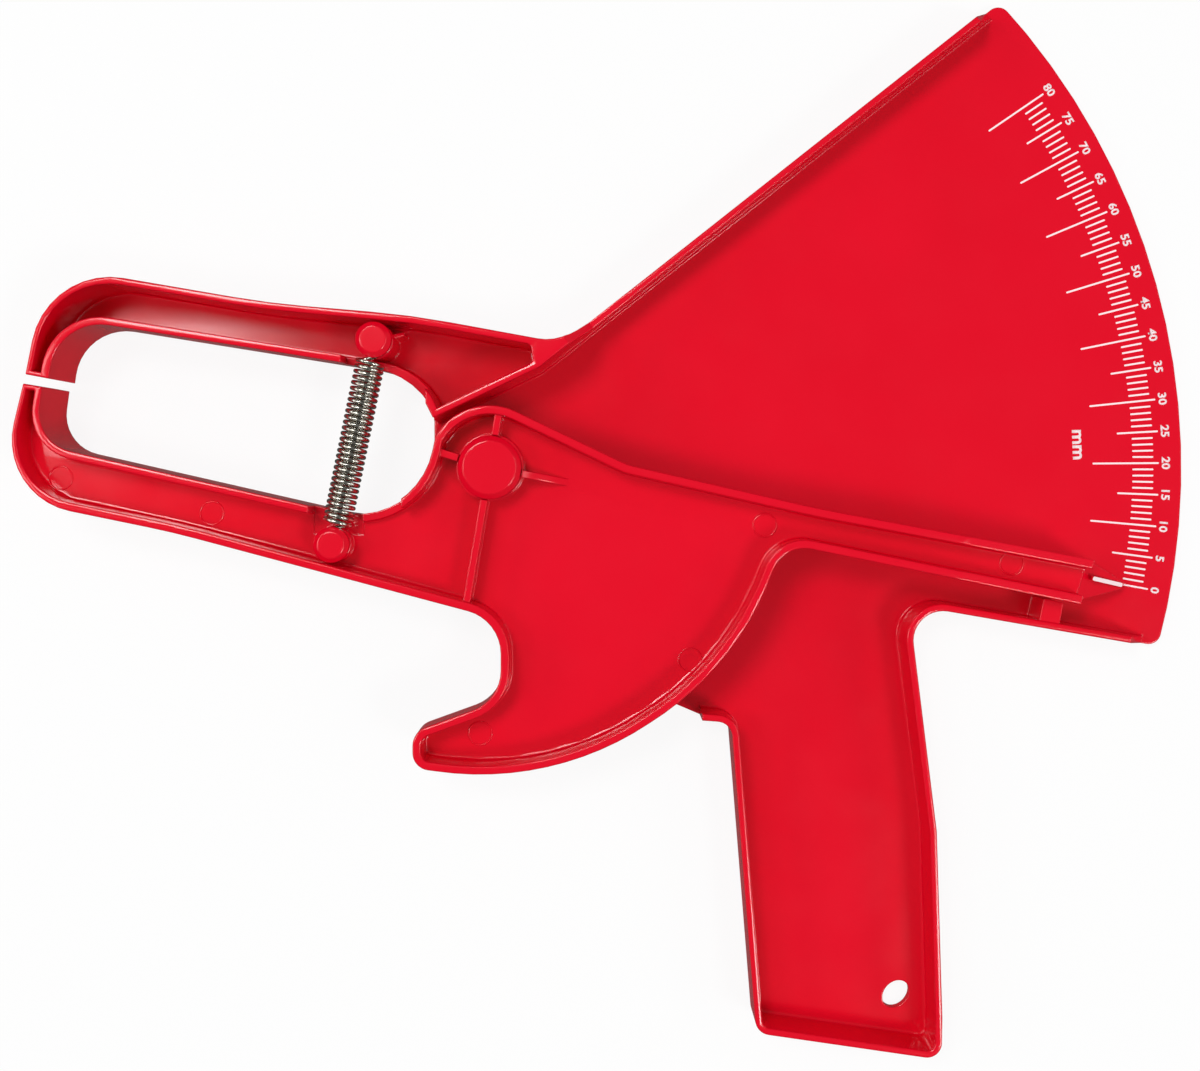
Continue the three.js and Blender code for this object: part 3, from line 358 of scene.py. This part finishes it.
def gate_mark():
    """What is left of the gate in the middle of the pivot pin's head: a ring level with its top."""
    bpy.ops.object.select_all(action="DESELECT")
    bpy.ops.mesh.primitive_torus_add(
        location=(0, 0, (PIN_TOP - GATE_LINE) * MM), major_radius=GATE_RADIUS * MM,
        minor_radius=GATE_LINE * MM, major_segments=32, minor_segments=8)
    bpy.ops.object.shade_smooth()
    return bpy.context.object


joined([gate_mark()], "gate_mark", "lever_body", RED)

# Spring


def post_axis(name):
    """Where a spring pin stands, in millimetres."""
    low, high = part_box(name)
    return Vector(((low[0] + high[0]) / 2, (low[1] + high[1]) / 2, 0)) / MM


UPPER_POST = post_axis("upper_spring_pin")
LOWER_POST = post_axis("lower_spring_pin")
# The winding, in millimetres and degrees. Lengths along it start from a pin's axis.
WIRE = 1.02
COIL_RADIUS = 2.93
COIL_PITCH = 1.33
COIL_START = 4.0
COIL_END_ANGLE = -150.0
HOOK_RADIUS = 2.82
HOOK_TURN = 235
HOOK_START = 0.3 * COIL_START
LEAD_HANDLE = 0.25  # how far the lead from coil to hook keeps each one's direction
SPRING_LEVEL = 16.3
COIL_STEPS = 28  # to half a turn
LEAD_STEPS = 16
HOOK_STEPS = 32


def bezier(a, b, c, d, count):
    """Points on a cubic curve from a to d, without a itself."""
    points = []
    for i in range(1, count + 1):
        t = i / count
        points.append(a * (1 - t) ** 3 + b * 3 * t * (1 - t) ** 2
                      + c * 3 * t * t * (1 - t) + d * t ** 3)
    return points


def coil_points(pitch, end, shift):
    """The close curls along x, from an angle of -end to end."""
    count = round(end * COIL_STEPS / math.pi)
    points = []
    for i in range(count + 1):
        angle = -end + 2 * end * i / count
        turn = angle - shift
        points.append(Vector((pitch * angle / (2 * math.pi),
                              COIL_RADIUS * math.cos(turn), COIL_RADIUS * math.sin(turn))))
    return points


def hook_points(centre):
    """The hook round a pin's neck, which stands centre millimetres along x."""
    points = []
    for i in range(HOOK_STEPS + 1):
        angle = math.radians(HOOK_TURN * i / HOOK_STEPS)
        points.append(Vector((centre + HOOK_RADIUS * math.sin(angle),
                              HOOK_RADIUS * math.cos(angle), 0)))
    return points


def spring_route():
    """Points along the wire: a hook round each pin's neck and the close curls between."""
    run = UPPER_POST - LOWER_POST
    length = run.length
    half = length / 2 - COIL_START
    turns = round(2 * half / COIL_PITCH - 1) + 0.5
    pitch = 2 * half / (turns + 0.5)
    out = math.radians(COIL_END_ANGLE)
    coil = coil_points(pitch, math.pi * turns + out, math.pi * turns)
    last = coil[-1]
    turn_length = COIL_RADIUS * 2 * math.pi
    leave = Vector((pitch, -turn_length * math.sin(out), turn_length * math.cos(out))).normalized()
    straight = Vector((length / 2 - HOOK_START, HOOK_RADIUS, 0))
    reach = (straight - last).length
    lead = bezier(last, last + leave * reach * LEAD_HANDLE,
                  straight - Vector((reach * LEAD_HANDLE, 0, 0)), straight, LEAD_STEPS)
    tail = lead + hook_points(length / 2)
    local = [Vector((-p.x, -p.y, p.z)) for p in reversed(tail)] + coil + tail
    axis = run.normalized()
    side = Vector((-axis.y, axis.x, 0))
    middle = (UPPER_POST + LOWER_POST) / 2 + Vector((0, 0, SPRING_LEVEL))
    return [(middle + axis * p.x - side * p.y + Vector((0, 0, p.z))) * MM for p in local]


def wound_spring():
    """The spring as one bent wire, in place of the model's spring."""
    points = spring_route()
    data = bpy.data.curves.new("spring_wire", "CURVE")
    data.dimensions = "3D"
    spline = data.splines.new("POLY")
    spline.points.add(len(points) - 1)
    for point, p in zip(spline.points, points):
        point.co = (*p, 1)
    spline.use_smooth = True
    data.bevel_depth = WIRE * MM / 2
    data.bevel_resolution = 3
    data.use_fill_caps = True
    obj = bpy.data.objects.new("spring_wire", data)
    scene.collection.objects.link(obj)
    alone(obj)
    bpy.ops.object.convert(target="MESH")
    obj = bpy.context.object
    bpy.ops.object.shade_smooth_by_angle(angle=math.radians(50))
    paint(obj, STEEL)
    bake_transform(obj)
    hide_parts("spring")


wound_spring()

# Board, lamps and view
BOARD_DROP = 0.4  # below the back face, so that the two don't coincide
LAMP_AIM = Vector((0.02, 0, 0))
PHOTO_WIDTH = 1200  # pixels
FOCAL_LENGTH = 1501.1  # pixels
PHOTO_SHIFT = -55.5  # pixels
SENSOR_WIDTH = 36
CAMERA_PLACE = Vector((25.14, -2.85, 360))


def floor_plane():
    bpy.ops.object.select_all(action="DESELECT")
    bpy.ops.mesh.primitive_plane_add(size=6, location=(0.03, -0.01, -BOARD_DROP * MM))
    board = bpy.context.object
    board.name = "board"
    paint(board, table_top())


def lamp(name, place, size, power):
    """A softbox at a place in metres, turned to the object."""
    data = bpy.data.lights.new(name, "AREA")
    data.shape = "RECTANGLE"
    data.size, data.size_y = size
    data.energy = power
    obj = bpy.data.objects.new(name, data)
    scene.collection.objects.link(obj)
    obj.location = place
    obj.rotation_euler = (LAMP_AIM - Vector(place)).to_track_quat("-Z", "Y").to_euler()


floor_plane()
lamp("softbox_upper_left", (-0.32, 0.4, 1.1), (0.32, 0.32), 4.9)
lamp("softbox_left", (-0.62, 0.02, 0.9), (0.3, 0.3), 1.6)
lamp("softbox_lower_right", (0.62, -0.46, 1.0), (0.28, 0.28), 3.9)
# Two low boxes draw the bright lines along the rims and down both sides of the spring.
lamp("low_box_left", (-0.95, 0.15, 0.55), (1.3, 0.3), 3.0)
lamp("low_box_right", (0.98, -0.1, 0.55), (1.3, 0.3), 3.0)

world = bpy.data.worlds.new("studio")
world.use_nodes = True
sky = world.node_tree.nodes["Background"]
sky.inputs["Color"].default_value = (1, 1, 1, 1)
# The camera sees plain white past the board. The object is lit by a quarter of it, and mirrors
# less, as the dark gaps between the boxes do in the real wire.
path = add(world, "ShaderNodeLightPath")
mirrored = add(world, "ShaderNodeMapRange",
               {"Value": path.outputs["Is Glossy Ray"], "To Min": 0.25, "To Max": 0.1})
seen = add(world, "ShaderNodeMapRange",
           {"Value": path.outputs["Is Camera Ray"], "To Min": mirrored.outputs[0], "To Max": 1.0})
world.node_tree.links.new(seen.outputs[0], sky.inputs["Strength"])
scene.world = world

camera = bpy.data.cameras.new("camera")
camera.sensor_width = SENSOR_WIDTH
camera.lens = FOCAL_LENGTH / PHOTO_WIDTH * SENSOR_WIDTH
camera.shift_y = PHOTO_SHIFT / PHOTO_WIDTH
viewer = bpy.data.objects.new("camera", camera)
scene.collection.objects.link(viewer)
viewer.location = CAMERA_PLACE * MM
scene.camera = viewer
scene.view_settings.view_transform = "Standard"
